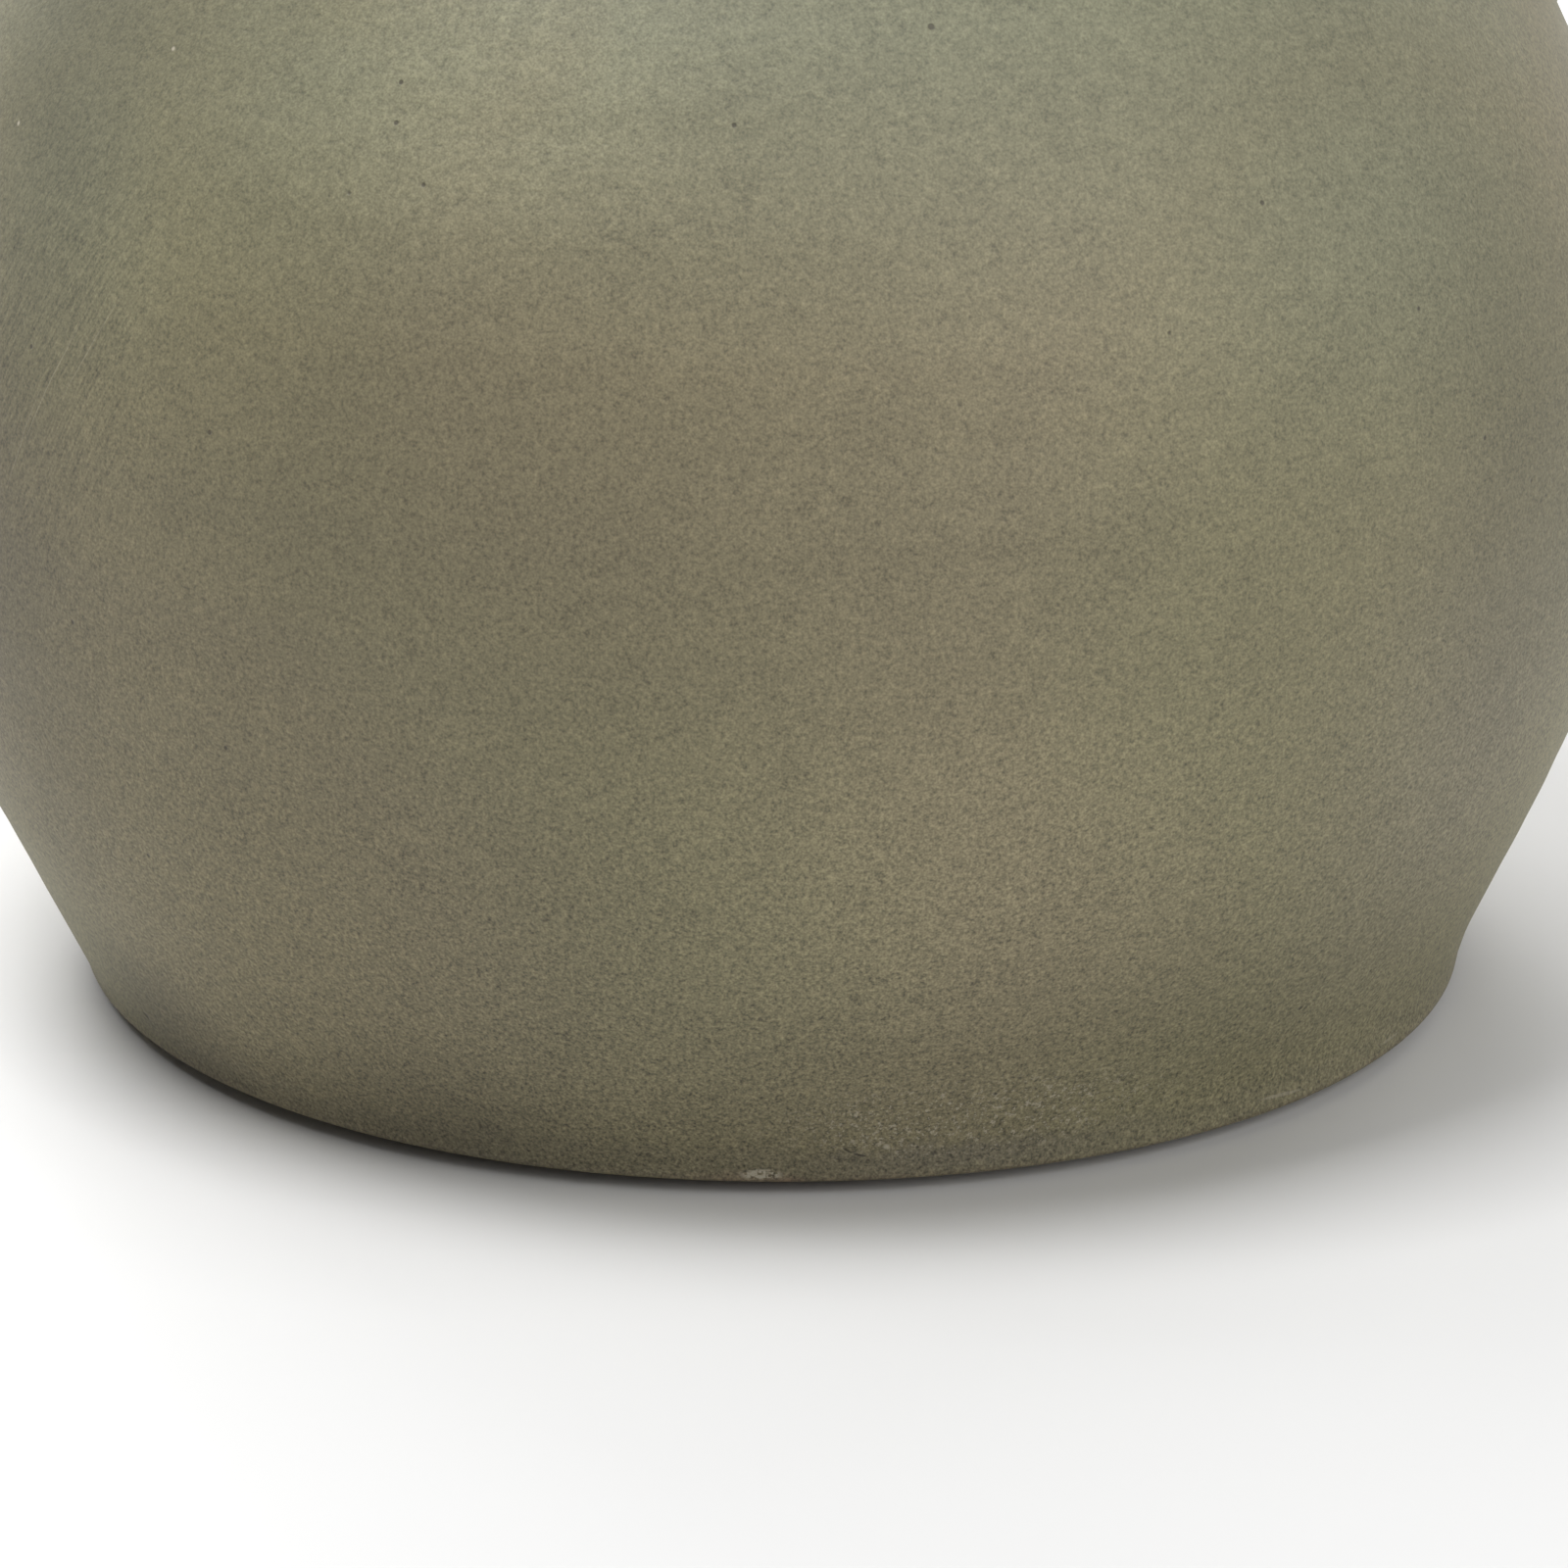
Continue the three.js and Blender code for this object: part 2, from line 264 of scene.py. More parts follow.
def settled(point):
    """The small unevenness of a hand-thrown pot, the same for every piece of it."""
    turn = math.atan2(point.y, point.x)
    uneven = oval_depth * math.sin(2 * turn + oval_turn)
    uneven += three_sided_depth * math.sin(3 * turn + three_sided_turn + point.z / three_sided_twist)
    uneven += ridge_depth * math.sin(2 * math.pi * point.z / ridge_spacing + turn)
    uneven += fine_ridge_depth * math.sin(2 * math.pi * point.z / fine_ridge_spacing)
    uneven *= smooth(0, ridges_start, point.z)
    towards = max(math.cos(turn - math.radians(foot_spread_turn)), 0) ** foot_spread_narrowing
    spread = foot_spread * towards * (1 - smooth(0, foot_spread_height, point.z))
    level = Vector((point.x, point.y, 0)) * (1 + uneven / belly_radius + spread / FOOT_RADIUS)
    moved = level - CAMERA_RIGHT * pot_tilt * point.z
    return Vector((moved.x, moved.y, point.z))


def crossing(holds, yes, no):
    """Halves the span between a value that holds and one that doesn't, down to the crossing."""
    for _ in range(halvings):
        middle = (yes + no) / 2
        if holds(middle):
            yes = middle
        else:
            no = middle
    return yes


# Skins of the spout and the handle


def keel(share):
    """Distance of the spout's keel from the pot's axis: share is 0 at the foot and 1 at the lip."""
    return lerp(side_radius(SPOUT_FOOT), spout_reach, max(share, 0.0) ** 2)


def spout_width(share):
    return lerp(spout_foot_width, spout_lip_width, max(share, 0.0) ** spout_opening) / 2


def channel_inset(share):
    return lerp(spout_wall, spout_lip_wall, max(share, 0.0))


def spout_point(share, angle, inset=0.0):
    reach = keel(share) - spout_root - inset
    half_width = spout_width(share) - inset
    out = spout_root + reach * math.cos(angle)
    across = half_width * math.sin(angle) * (1 - spout_sharpness * max(math.cos(angle), 0))
    lift = math.tan(RISE * max(share, 0.0)) * (out - neck_radius)
    return Vector((-out, -across, lerp(SPOUT_FOOT, pot_height, share) + lift))


def in_spout(point, widen):
    """Whether a point is inside the spout's channel, made wider by a clearance."""
    below_foot, rounds = -0.15, 6
    out, share = -point.x, 0.0
    for _ in range(rounds):
        lift = math.tan(RISE * max(share, 0.0)) * (out - neck_radius)
        share = (point.z - lift - SPOUT_FOOT) / (pot_height - SPOUT_FOOT)
    inset = channel_inset(share) - widen
    reach = keel(share) - spout_root - inset
    along = (out - spout_root) / reach
    if abs(along) >= 1 or share < below_foot:
        return False
    narrowed = math.sqrt(1 - along**2) * (1 - spout_sharpness * max(along, 0))
    return abs(point.y) < (spout_width(share) - inset) * narrowed


def notch(radius, height):
    """Half of the angle that the spout's notch takes out of the pot's wall."""
    depth = min(max((side_radius(min(height, RIM_HEIGHT)) - radius) / rim_thickness, 0.0), 1.0)
    clearance = lerp(notch_outside, notch_inside, depth)

    def inside(angle):
        place = Vector((-radius * math.cos(angle), radius * math.sin(angle), height))
        return in_spout(place, clearance)

    return crossing(inside, 0.0, math.pi / 2) if inside(0.0) else 0.0


def on_curve(a, b, c, d, share):
    """A point of the curve that leaves a towards b and comes to d from c."""
    rest = 1 - share
    return a * rest**3 + b * 3 * rest**2 * share + c * 3 * rest * share**2 + d * share**3


def handle_line(along):
    """A point on the middle of the strap, and the way that the strap runs there. Half way along, the
    curve stands at an eighth of its two ends and three eighths of its two pulls."""
    top = Vector((side_radius(HANDLE_TOP) - wall / 2, 0, HANDLE_TOP))
    foot = Vector((side_radius(HANDLE_FOOT) - wall / 2, 0, HANDLE_FOOT))
    height = HANDLE_TOP - HANDLE_FOOT
    bow = (8 * handle_reach - top.x - foot.x) / 6
    pull_top = Vector((bow - handle_draw * height, 0, HANDLE_TOP + handle_arch * height))
    pull_foot = Vector((bow + handle_draw * height, 0, HANDLE_FOOT + handle_fall * height))
    rest = 1 - along
    heading = (pull_top - top) * rest**2 + (pull_foot - pull_top) * 2 * rest * along
    heading += (foot - pull_foot) * along**2
    return on_curve(top, pull_top, pull_foot, foot, along), heading.normalized()


def strap(along, top, middle, foot):
    return lerp(middle, top if along < 0.5 else foot, (2 * along - 1) ** 2)


def handle_point(along, angle):
    """Along runs from 0 at the top to 1 at the foot; the angle is 0 on the inside of the loop."""
    point, heading = handle_line(along)
    inward = Vector((heading.z, 0, -heading.x))
    thickness = strap(along, handle_top_thickness, handle_thickness, handle_foot_thickness)
    width = strap(along, handle_top_width, handle_width, handle_foot_width)
    pulled = handle_groove * math.sin(math.pi * along) * max(-math.cos(angle), 0) ** groove_narrowing
    sideways = Vector((0, math.sin(angle) * width / 2, 0))
    return point + inward * (math.cos(angle) * thickness / 2 + pulled) + sideways


# Mesh making


def lofted(bm, rings, loop=False):
    """Skins rings of points by extruding the first ring from place to place."""
    ring = [bm.verts.new(point) for point in rings[0]]
    first = ring
    edges = [bm.edges.new(pair) for pair in zip(ring, ring[1:] + ring[:1])]
    for points in rings[1:] + (rings[:1] if loop else []):
        made = set(bmesh.ops.extrude_edge_only(bm, edges=edges)["geom"])
        ring = [next(e.other_vert(v) for e in v.link_edges if e.other_vert(v) in made) for v in ring]
        for vert, point in zip(ring, points):
            vert.co = point
        edges = [bm.edges.get(pair) for pair in zip(ring, ring[1:] + ring[:1])]
    if loop:
        bmesh.ops.weld_verts(bm, targetmap=dict(zip(ring, first)))


def closed(bm):
    """Merges doubles and fills what is left open."""
    bmesh.ops.remove_doubles(bm, verts=bm.verts[:], dist=merge_distance)
    bmesh.ops.holes_fill(bm, edges=[e for e in bm.edges if e.is_boundary], sides=0)


def finished(bm, name, node, materials, thin):
    """Makes a piece from its mesh. The function thin says how thin the glaze runs at a point."""
    bmesh.ops.recalc_face_normals(bm, faces=bm.faces[:])
    layer = bm.verts.layers.float.new("thin_glaze")
    for vert in bm.verts:
        vert[layer] = thin(vert.co)
        vert.co = settled(vert.co) * MM
    mesh = bpy.data.meshes.new(name)
    bm.to_mesh(mesh)
    bm.free()
    mesh.shade_smooth()
    for material in materials:
        mesh.materials.append(material)
    piece = bpy.data.objects.new(name, mesh)
    bpy.context.scene.collection.objects.link(piece)
    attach(piece, "root")
    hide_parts(node)


# The pot


def pot_profile():
    """Side view from the middle of the underside, up the outside, over the rim and down to the floor.
    Each pair is a radius and a height."""
    hollow_edge = 0.8
    rise = foot_bevel * math.tan(LEAN)
    bevel_foot = FOOT_RADIUS - foot_bevel
    flat_end = (bevel_foot - bevel_softness, 0.0)
    bevel_start = (bevel_foot, foot_lift)
    edge_start = (FOOT_RADIUS + rise - edge_inset, foot_bevel - edge_drop)
    edge_end = (FOOT_RADIUS + rise + edge_outset, foot_bevel + edge_climb)
    ring_inside = bevel_foot - foot_ring
    shares = [i / under_steps for i in range(under_steps)]
    under = [(ring_inside * share, foot_hollow * (1 - smooth(hollow_edge, 1, share))) for share in shares]
    foot = line((ring_inside, 0.0), flat_end, 5) + line(flat_end, bevel_start, 3)
    foot += line(bevel_start, edge_start, 4) + line(edge_start, edge_end, 3)
    lower = line(edge_end, (side_radius(WALL_TOP), WALL_TOP), 12)
    belly = arc(BELLY_CENTRE, belly_curve, -LEAN, SHOULDER, belly_steps)
    neck_centre = (NECK_OUT, NECK_HEIGHT)
    neck = arc(neck_centre, neck_curve, math.pi + SHOULDER, math.pi - FLARE, neck_steps)[1:]
    flare = line(neck[-1], (side_radius(RIM_HEIGHT), RIM_HEIGHT), 9)[1:]
    rim = arc(RIM_CENTRE, rim_thickness / 2, 0, math.pi, rim_steps)
    inner_neck = arc(neck_centre, neck_curve + wall, math.pi - FLARE, math.pi + SHOULDER, neck_steps)
    inner_flare = line(rim[-1], inner_neck[0], 6)[1:]
    inner_belly = arc(BELLY_CENTRE, belly_curve - wall, SHOULDER, -LEAN, lining_steps)[1:]
    fillet_height = floor_thickness + floor_fillet
    fillet_centre = (side_radius(fillet_height, -wall - floor_fillet), fillet_height)
    fillet = arc(fillet_centre, floor_fillet, -LEAN, -math.pi / 2, fillet_steps)
    floor = line(fillet[-1], (0.0, floor_thickness), under_steps)[1:] + [(0.0, floor_thickness)]
    outside = under + foot + lower + belly + neck + flare + rim
    return outside + inner_flare + inner_neck + inner_belly + fillet + floor


def glaze_on_pot(point):
    """How thin the glaze runs over the rim and at the foot."""
    at_rim = smooth(pot_height - thin_rim_from, pot_height - thin_rim_full, point.z)
    at_foot = thin_foot_share * (1 - smooth(thin_foot_full, thin_foot_from, point.z))
    from_axis = math.hypot(point.x, point.y)
    outside = smooth(FOOT_RADIUS - thin_underside_from, FOOT_RADIUS - thin_underside_full, from_axis)
    return max(at_rim, at_foot * outside)


def bare_underside(face):
    """Whether a face is in the disc that the pot stands on, which is left unglazed."""
    middle = face.calc_center_median()
    from_axis = math.hypot(middle.x, middle.y)
    return middle.z < foot_hollow + underside_margin and from_axis < FOOT_RADIUS - foot_bevel


def make_pot(materials):
    """Spins the side view round once from the spout, and draws the two ends apart at the notch."""
    bm = bmesh.new()
    profile = pot_profile()
    opened = [notch(radius, height) for radius, height in profile]
    nearest = KDTree(len(profile))
    for i, (radius, height) in enumerate(profile):
        nearest.insert((radius, 0, height), i)
    nearest.balance()
    start = [bm.verts.new((-radius, 0, height)) for radius, height in profile]
    edges = [bm.edges.new(pair) for pair in zip(start, start[1:])]
    once_round = {"cent": (0, 0, 0), "axis": (0, 0, 1), "angle": 2 * math.pi, "steps": pot_steps}
    spun = bmesh.ops.spin(bm, geom=start + edges, use_merge=False, **once_round)
    last = {v for v in spun["geom_last"] if isinstance(v, bmesh.types.BMVert)}
    first, end = set(start), {}
    for vert in bm.verts:
        radius = math.hypot(vert.co.x, vert.co.y)
        level = nearest.find((radius, 0, vert.co.z))[1]
        gap = opened[level]
        turn = math.atan2(-vert.co.y, -vert.co.x) % (2 * math.pi)
        if vert in first:
            turn = 0.0
        if vert in last:
            turn = 2 * math.pi
            end[level] = vert
        turn = gap + turn * (1 - gap / math.pi)
        vert.co = Vector((-radius * math.cos(turn), -radius * math.sin(turn), vert.co.z))
    whole = {end[i]: start[i] for i, gap in enumerate(opened) if gap == 0}
    bmesh.ops.weld_verts(bm, targetmap=whole)
    poles = [v for v in bm.verts if math.hypot(v.co.x, v.co.y) < pole_radius]
    bmesh.ops.remove_doubles(bm, verts=poles, dist=pole_radius)
    cut = [e for e in bm.edges if e.is_boundary]
    for side in (1, -1):
        one_side = [e for e in cut if all(v.co.y * side >= -side_margin for v in e.verts)]
        walls = [e for e in one_side if max(v.co.z for v in e.verts) < RIM_HEIGHT]
        bmesh.ops.bridge_loops(bm, edges=walls)
    closed(bm)
    for face in filter(bare_underside, bm.faces):
        face.material_index = 1
    finished(bm, "pot_body", "thrown_pot", materials, glaze_on_pot)


# The spout


def spout_skin(along, angle):
    """The spout's skin: along runs up its outside, is 0 where the lip's round starts, and goes on
    over the lip and down the channel. It is measured in millimetres."""
    height = pot_height - SPOUT_FOOT
    lip_start = 1 - LIP_ROUND / height
    if along < 0:
        return spout_point(lip_start + along / height, angle)
    turn = along / LIP_ROUND
    if turn < math.pi:
        share = lip_start + LIP_ROUND * math.sin(turn) / height
        return spout_point(share, angle, LIP_ROUND * (1 - math.cos(turn)))
    share = lip_start - (along - math.pi * LIP_ROUND) / height
    return spout_point(share, angle, channel_inset(share))


def pot_reach(along, point):
    """Radius of the pot's skin beside a point of the spout's skin."""
    if along < 0:
        return side_radius(point.z)
    turn = along / LIP_ROUND
    if turn < math.pi:
        return RIM_CENTRE[0] + rim_thickness / 2 * math.cos(turn)
    return inside_radius(point.z)


def lining_point(along, angle):
    """A point of the spout's channel, kept from standing into the pot's hollow."""
    point = spout_skin(along, angle)
    out, radius = level_of(point)
    least = side_radius(min(point.z, RIM_HEIGHT)) - lining_let_in
    return point if radius >= least else out * least + Vector((0, 0, point.z))


def spout_rings():
    """Level sections of the spout, each round its outside one way and along its channel back."""
    widest = math.pi * 0.6
    quarter = LIP_ROUND * math.pi / 2
    levels = [lerp(-spout_skin_length, 0.0, i / spout_levels) for i in range(spout_levels + 1)]
    levels += [quarter * i / lip_levels for i in range(1, lip_levels + 1)]
    rings = []
    for level in levels:

        def proud(angle, level=level):
            point = spout_skin(level, angle)
            return level_of(point)[1] > side_radius(min(point.z, RIM_HEIGHT)) - spout_let_in

        end = crossing(proud, 0.0, widest)
        angles = [end * k / spout_sides for k in range(-spout_sides, spout_sides + 1)]
        outer = [spout_skin(level, angle) for angle in angles]
        inner = [lining_point(2 * quarter - level, angle) for angle in reversed(angles)]
        rings.append(outer + inner)
    return rings


def bare_lip(point):
    """The glaze runs thin over the lip and the rim."""
    lip = pot_height + math.tan(RISE) * max(-point.x - neck_radius, 0.0)
    return smooth(lip - thin_lip_from, lip - thin_lip_full, point.z)


def make_spout(materials):
    bm = bmesh.new()
    lofted(bm, spout_rings())
    closed(bm)
    finished(bm, "spout_body", "spout", materials, bare_lip)


# The handle


def handle_end(angle, past):
    """How far along the handle its skin is let into the pot's wall."""

    def free(along):
        point = handle_point(along, angle)
        return level_of(point)[1] > side_radius(point.z) - handle_let_in

    return crossing(free, 0.5, past)


def glaze_on_strap(point):
    """How thin the glaze runs along the strap's two edges."""
    at_edge = smooth(thin_strap_from, thin_strap_full, abs(point.y))
    away = smooth(FOOT_RADIUS, FOOT_RADIUS + thin_strap_reach, point.x)
    return thin_strap_share * at_edge * away


def make_handle(materials):
    bm = bmesh.new()
    turns = [2 * math.pi * k / handle_sides for k in range(handle_sides)]
    tops = [handle_end(turn, handle_top_past) for turn in turns]
    feet = [handle_end(turn, handle_foot_past) for turn in turns]
    rings = []
    for step in range(handle_steps + 1):
        alongs = [lerp(top, foot, step / handle_steps) for top, foot in zip(tops, feet)]
        rings.append([handle_point(along, turn) for along, turn in zip(alongs, turns)])
    lofted(bm, rings)
    closed(bm)
    finished(bm, "handle_body", "handle", materials, glaze_on_strap)


# Seams and the clay worked into them


def seam_point(skin, u, v, flip, inside=False):
    """A point of a seam, the normal of the piece's skin there, and a walk over that skin."""
    point = skin(u, v)
    along_u = (skin(u + nudge, v) - skin(u - nudge, v)) / (2 * nudge)
    along_v = (skin(u, v + nudge) - skin(u, v - nudge)) / (2 * nudge)
    normal = along_u.cross(along_v).normalized() * flip

    def walk(step):
        """The point of the piece's skin that lies a step away, and the skin's normal there."""
        uu, uv, vv = along_u.dot(along_u), along_u.dot(along_v), along_v.dot(along_v)
        su, sv = step.dot(along_u), step.dot(along_v)
        scale = uu * vv - uv * uv
        du, dv = (su * vv - sv * uv) / scale, (sv * uu - su * uv) / scale
        there = skin(u + du, v + dv)
        beside = (skin(u + du + nudge, v + dv) - there).cross(skin(u + du, v + dv + nudge) - there)
        return there, beside.normalized() * flip

    return {"point": point, "skin": normal, "walk": walk, "inside": inside, "leg": coil_leg}


def half_seam(side):
    """The spout's seam on one side: up the outside, over the rim and down into the throat."""
    over, crest = math.pi * LIP_ROUND, math.pi * LIP_ROUND / 2
    well_up, well_down, throat_foot, widest = -10.0, 10.0, 40.0, 2.4

    def meets(along, angle):
        point = spout_skin(along, angle)
        return level_of(point)[1] > pot_reach(along, point)

    lowest_out = crossing(lambda along: meets(along, 0.0), well_up, -spout_skin_length)
    lowest_in = crossing(lambda along: meets(along, 0.0), over + well_down, over + throat_foot)
    crowded = [(1 - i / seam_steps) ** seam_crowding for i in range(seam_steps + 1)]
    places = [lowest_out * share for share in crowded[:-1]]
    places += [over * i / seam_rim_steps for i in range(seam_rim_steps + 1)]
    places += [lerp(over, lowest_in, 1 - share) for share in crowded[1:]]
    seam = []
    for along in places:
        angle = crossing(lambda turn, along=along: meets(along, turn), 0.0, widest) * side
        found = seam_point(spout_skin, along, angle, -1, along > crest)
        climb = smooth(0, 1, 1 - abs(along - crest) / rim_leg_reach)
        found["leg"] = lerp(coil_leg if along < crest else throat_leg, rim_leg, climb)
        seam.append(found)
    return seam


def spout_seam():
    """The whole seam of the spout, as one loop."""
    return half_seam(1)[1:] + half_seam(-1)[::-1][1:]


def handle_seam(past):
    """The handle's seam at one of its ends, as a loop."""
    seam = []
    for k in range(handle_seam_steps):
        angle = 2 * math.pi * k / handle_seam_steps

        def free(along, angle=angle):
            point = handle_point(along, angle)
            return level_of(point)[1] > side_radius(point.z)

        along = crossing(free, 0.5, past)
        found = seam_point(handle_point, along, angle, 1)
        outward = found["point"] - handle_line(along)[0]
        if found["skin"].dot(outward) < 0:
            found = seam_point(handle_point, along, angle, -1)
        seam.append(found)
    return seam


def worked_rings(seam):
    """Sections of the clay worked smooth from the pot onto the piece that joins it."""
    count, rings, side = len(seam), [], 0
    for i, at in enumerate(seam):
        ahead, behind = seam[(i + seam_reach) % count], seam[(i - seam_reach) % count]
        run = (ahead["point"] - behind["point"]).normalized()
        point, skin, leg = at["point"], at["skin"], at["leg"]
        pot = pot_normal(point, at["inside"])
        over_pot = run.cross(pot).normalized()
        if side == 0:
            side = 1 if over_pot.dot(skin) > 0 else -1
        over_pot *= side
        over_skin = run.cross(skin).normalized() * -side
        pot_end = on_pot(point + over_pot * leg, at["inside"])
        pot_end_normal = pot_normal(pot_end, at["inside"])
        skin_end, skin_end_normal = at["walk"](over_skin * leg)
        to_pot, to_skin = point - pot_end, point - skin_end
        pot_pull = to_pot - pot_end_normal * to_pot.dot(pot_end_normal)
        skin_pull = to_skin - skin_end_normal * to_skin.dot(skin_end_normal)
        a, d = pot_end - pot_end_normal * edge_sink, skin_end - skin_end_normal * edge_sink
        b = a + pot_pull.normalized() * to_pot.length * coil_hollow
        c = d + skin_pull.normalized() * to_skin.length * coil_hollow
        face = [on_curve(a, b, c, d, k / coil_steps) for k in range(coil_steps + 1)]
        middle = face[coil_steps // 2] - (skin + pot).normalized() * coil_depth
        rings.append(face + [d - skin_end_normal * coil_depth, middle, a - pot_end_normal * coil_depth])
    return rings


def make_coil(name, node, seam, materials):
    bm = bmesh.new()
    lofted(bm, worked_rings(seam), True)
    closed(bm)
    finished(bm, name, node, materials, bare_lip)


# Materials: colours, then the glaze's grain, its foot and the marks in it

glaze_olive = (0.178, 0.161, 0.089, 1)
glaze_brown = (0.175, 0.151, 0.089, 1)
glaze_straw = (0.183, 0.156, 0.078, 1)
glaze_stone = (0.178, 0.159, 0.106, 1)
# The greyer green is partly painted sheen over the olive brown
sage_glaze_and_painted_sheen = (0.170, 0.168, 0.107, 1)
wiped_glaze = (0.146, 0.130, 0.092, 1)
foot_edge_glaze_and_highlight = (0.205, 0.188, 0.125, 1)
thin_glaze_colour = (0.19, 0.132, 0.086, 1)
pale_fleck = (0.42, 0.38, 0.29, 1)
hole_brown = (0.035, 0.028, 0.018, 1)
clay_dark = (0.30, 0.23, 0.16, 1)
clay_light = (0.42, 0.34, 0.25, 1)
sweep_white = (0.74, 0.74, 0.74, 1)

# Noise in the glaze, from fine to broad: its size in millimetres and how far it swings either way
fine_grain, fine_swing = 0.24, 0.76
coarse_grain, coarse_swing, coarse_flattening = 1.0, 0.2, 1.5
mottle_grain, mottle_swing = 6.0, 0.09
streak_swing, streak_shape = 0.2, (3.0, 0.16, 0.16)

# How the grain changes with height: two heights, and its strength at each
fine_near_foot = (34, 4, 1.0, 1.6)
fine_on_shoulder = (42, 64, 1.0, 0.78)
coarse_on_shoulder = (40, 64, 1.0, 1.5)

# Clouds of colour: their size, and the values of the noise between which they turn. The green ones
# also need height.
yellow_cloud, yellow_range, yellow_bend = 45, (0.4, 0.6), 0.3
# The green on the shoulder is partly painted sheen
green_cloud, green_range, green_heights = 30, (0.3, 0.5), (50, 66)

# The foot: how far its edges wander, the heights between which they fade, and how strong they are
foot_wander, wander_size = 0.5, 3.0
strip_top, strip_bottom = (3.6, 2.6), (0.8, 1.5)
strip_in_front, strip_all_round = 0.5, 0.2
foot_edge_fade, foot_edge_share, reddish_share = (1.6, 0.8), 0.45, 0.8

# Where the glaze breaks over the rim, the flecks and the chip: the size, and the values of the noise
break_size, break_range = 1.2, (0.3, 0.7, 0.4, 1.1)
fleck_size, fleck_range, fleck_share = 0.32, (0.56, 0.66), 0.65
chip_size, chip_range = 0.4, (0.47, 0.56)
grog_size, grog_range = 0.5, (0.35, 0.65)

# Pinholes: how far apart, the part of a cell that a hole takes, which cells have one, and their depth
pinhole_spacing = 3.4
pinhole_edge = (0.05, 0.026)
pinhole_chance = (0.45, 0.55)
hole_share, hole_depth = 0.8, 2.5

# Surfaces: roughness, and how strong and how deep in metres the relief is
glaze_roughness, glaze_relief, glaze_relief_depth = 0.6, 0.45, 0.00006
clay_roughness, clay_relief, clay_relief_depth = 0.85, 0.6, 0.0001
sweep_roughness, sweep_gloss = 0.9, 0.2

# Marks on the glaze: where they lie on the pot, in millimetres, and how wide they are. A pale scratch
# also has its strength.
scratch_reach = 1.5
open_pinholes = [
    ((-40.6, -1.7, 3.1), 0.32),
    ((11.5, -41.1, 7.6), 0.22),
    ((-35.3, -24.5, 60.9), 0.20),
    ((-35.1, -27.3, 58.2), 0.20),
    ((-10.1, -37.4, 66.1), 0.24),
    ((24.6, -43.0, 36.9), 0.26),
]
pale_specks = [
    ((-41.4, -9.8, 62.0), 0.2),
    ((-46.0, 0.6, 55.7), 0.2),
    ((-13.2, -38.6, 3.1), 0.30),
]
pale_scratches = [
    ((-49.7, -6.7, 39.0), (-46.9, -11.3, 49.4), 0.12, 0.22),
    ((-49.9, -5.2, 36.0), (-48.4, -8.6, 44.5), 0.11, 0.2),
    ((-48.6, -9.4, 42.0), (-46.0, -13.6, 50.6), 0.11, 0.2),
    ((9.6, -39.8, 1.9), (13.6, -38.2, 1.5), 0.26, 0.34),
    ((20.2, -35.2, 1.7), (22.4, -33.6, 1.7), 0.24, 0.34),
]
dark_scratches = [
    ((-15.5, -37.6, 3.3), (-14.9, -37.9, 2.75), 0.20),
    ((-15.0, -37.8, 2.8), (-14.0, -38.1, 2.5), 0.20),
]

# Where the colour is greener and greyer below the shoulder and at the sides, partly the glaze's own tone
# and partly painted sheen: the middle, the reach and how much
sage_and_painted_sheen_sides = [
    ((16, -44, 56), (26, 20, 22), 0.9),
    ((-46, -6, 56), (14, 16, 18), 0.7),
    ((-34, -25, 65), (20, 16, 11), 0.8),
]

# Where it is yellower or greyer: the colour, the middle, the reach and how much
tinted_sides = [
    (glaze_straw, (-41, -16, 17), (17, 22, 26), 0.6),
    (glaze_stone, (20, -42, 24), (19, 16, 26), 0.7),
]

# Broad soft patches, partly the glaze's own tone and partly painted light: painted shade under the spout,
# on the left and right sides and near the foot, and a painted highlight where the shoulder's sheen falls.
# Each has the middle, the reach, and how much lighter or darker
tone_and_painted_light_patches = [
    ((-31, -27, 63), (16, 16, 12), 0.22),
    ((-41, -28, 43), (18, 18, 18), -0.13),
    ((-30, -38, 42), (14, 14, 18), -0.08),
    ((-3, -46, 52), (16, 14, 12), 0.10),
    ((-14, -47, 24), (24, 16, 18), 0.26),
    ((-47, -2, 62), (16, 16, 16), -0.24),
    ((-49, -5, 38), (12, 12, 34), -0.24),
    ((-41, -4, 4), (8, 10, 8), -0.30),
    ((-33, -24, 3), (15, 14, 7), -0.20),
    ((25, -42, 38), (15, 15, 28), -0.22),
    ((8, -44, 10), (22, 16, 10), -0.10),
    ((20, -40, 62), (18, 16, 10), -0.06),
]
rough_band = ((-9, -40.3, 4.7), (16, 8, 3.6))
smooth_strip = ((-9, -39.5, 2.4), (15, 8, 5))
reddish_edge = ((-18, -36, 0.8), (9, 8, 3))
buff_chip = ((-19.1, -35.1, 1.4), (1.5, 1.2, 0.48))
brushed = ((-48, -8, 45), (9, 12, 24))
brushed_along = (2.8, -4.6, 10.4)


def add(tree, kind, inputs=None, **settings):
    """Adds a node; an input is either a value or the output that feeds it."""
    made = tree.nodes.new(kind)
    for name, value in settings.items():
        setattr(made, name, value)
    for name, value in (inputs or {}).items():
        if isinstance(value, bpy.types.NodeSocket):
            tree.links.new(value, made.inputs[name])
        else:
            made.inputs[name].default_value = value
    return made


def new_material(name):
    material = bpy.data.materials.new(name)
    material.use_nodes = True
    return material, material.node_tree, material.node_tree.nodes["Principled BSDF"]


